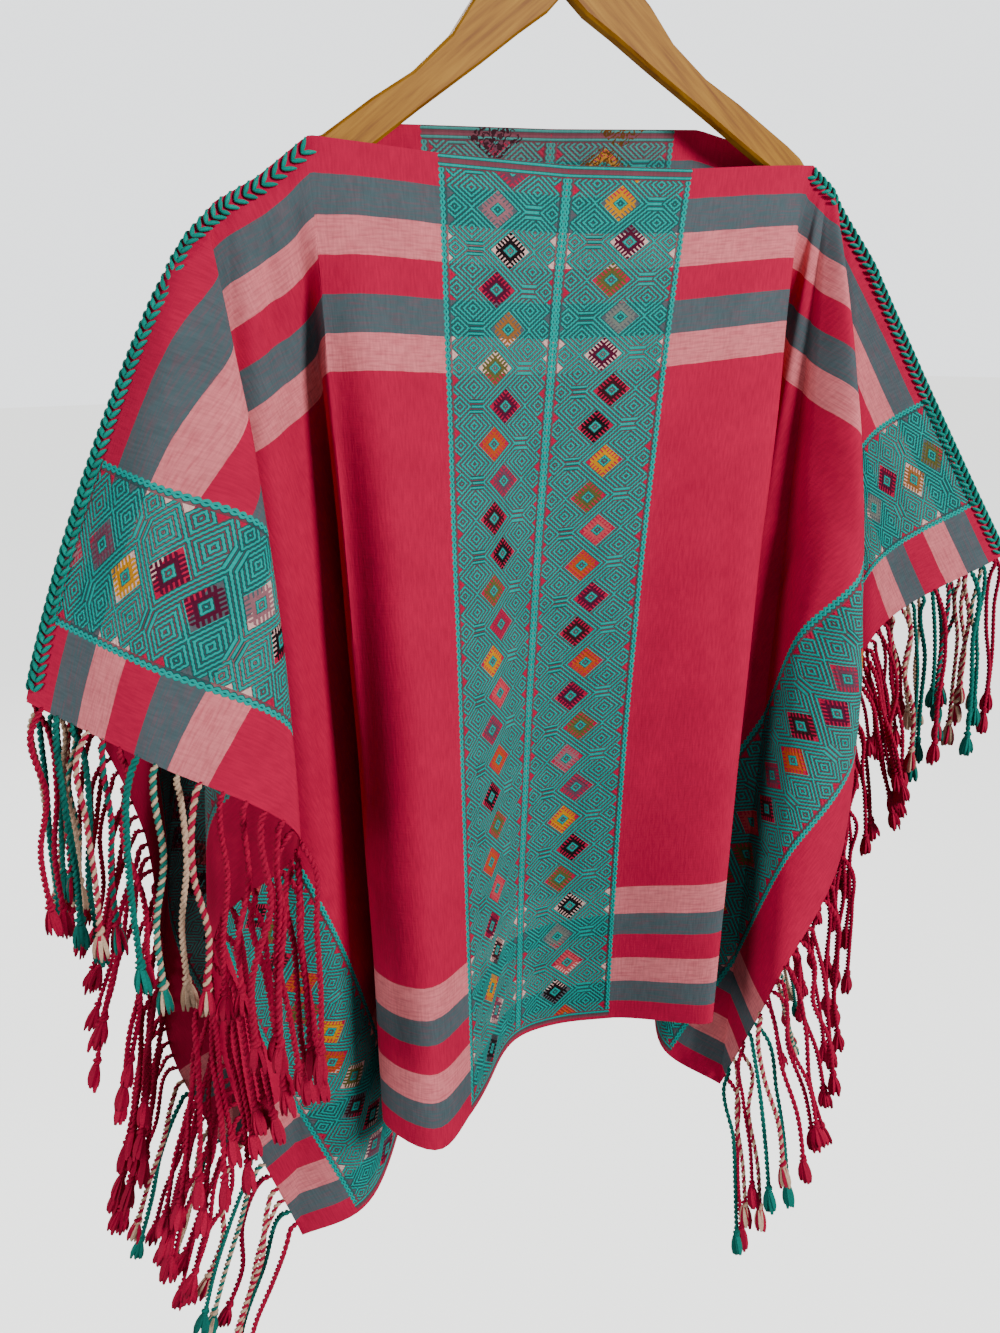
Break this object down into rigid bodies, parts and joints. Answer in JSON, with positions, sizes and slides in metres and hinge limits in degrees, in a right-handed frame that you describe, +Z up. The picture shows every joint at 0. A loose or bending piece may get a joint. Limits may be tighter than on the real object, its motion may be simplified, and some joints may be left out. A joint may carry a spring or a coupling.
{
  "type": "poncho on wooden hanger",
  "caption": "Hand-woven striped poncho with brocaded diamond bands and fringed side edges, draped over a plain wooden clothes hanger.",
  "frame": {"origin": "inner top of the hanger's hook, where the whole thing hangs", "axes": "+Z up, the garment's front faces -Y, +X to the right seen from the front"},
  "size_m": [0.8904, 0.3487, 1.25],
  "materials": {
    "front_cloth": "matt plain weave with brocaded bands",
    "back_cloth": "matt plain weave with brocaded bands",
    "joining_stitch": "matt thread",
    "warp_ends": "twisted matt yarn",
    "hanger_wood": "clear varnish",
    "hanger_steel": "plain wire"
  },
  "bodies": {
    "root": {"front_panel": "front_cloth", "back_panel": "back_cloth", "stitch_left": "joining_stitch", "stitch_right": "joining_stitch", "fringe_front_left": "warp_ends", "fringe_front_right": "warp_ends", "fringe_back_left": "warp_ends", "fringe_back_right": "warp_ends", "hanger_arms": "hanger_wood", "hanger_hook": "hanger_steel"}
  },
  "joints": []
}
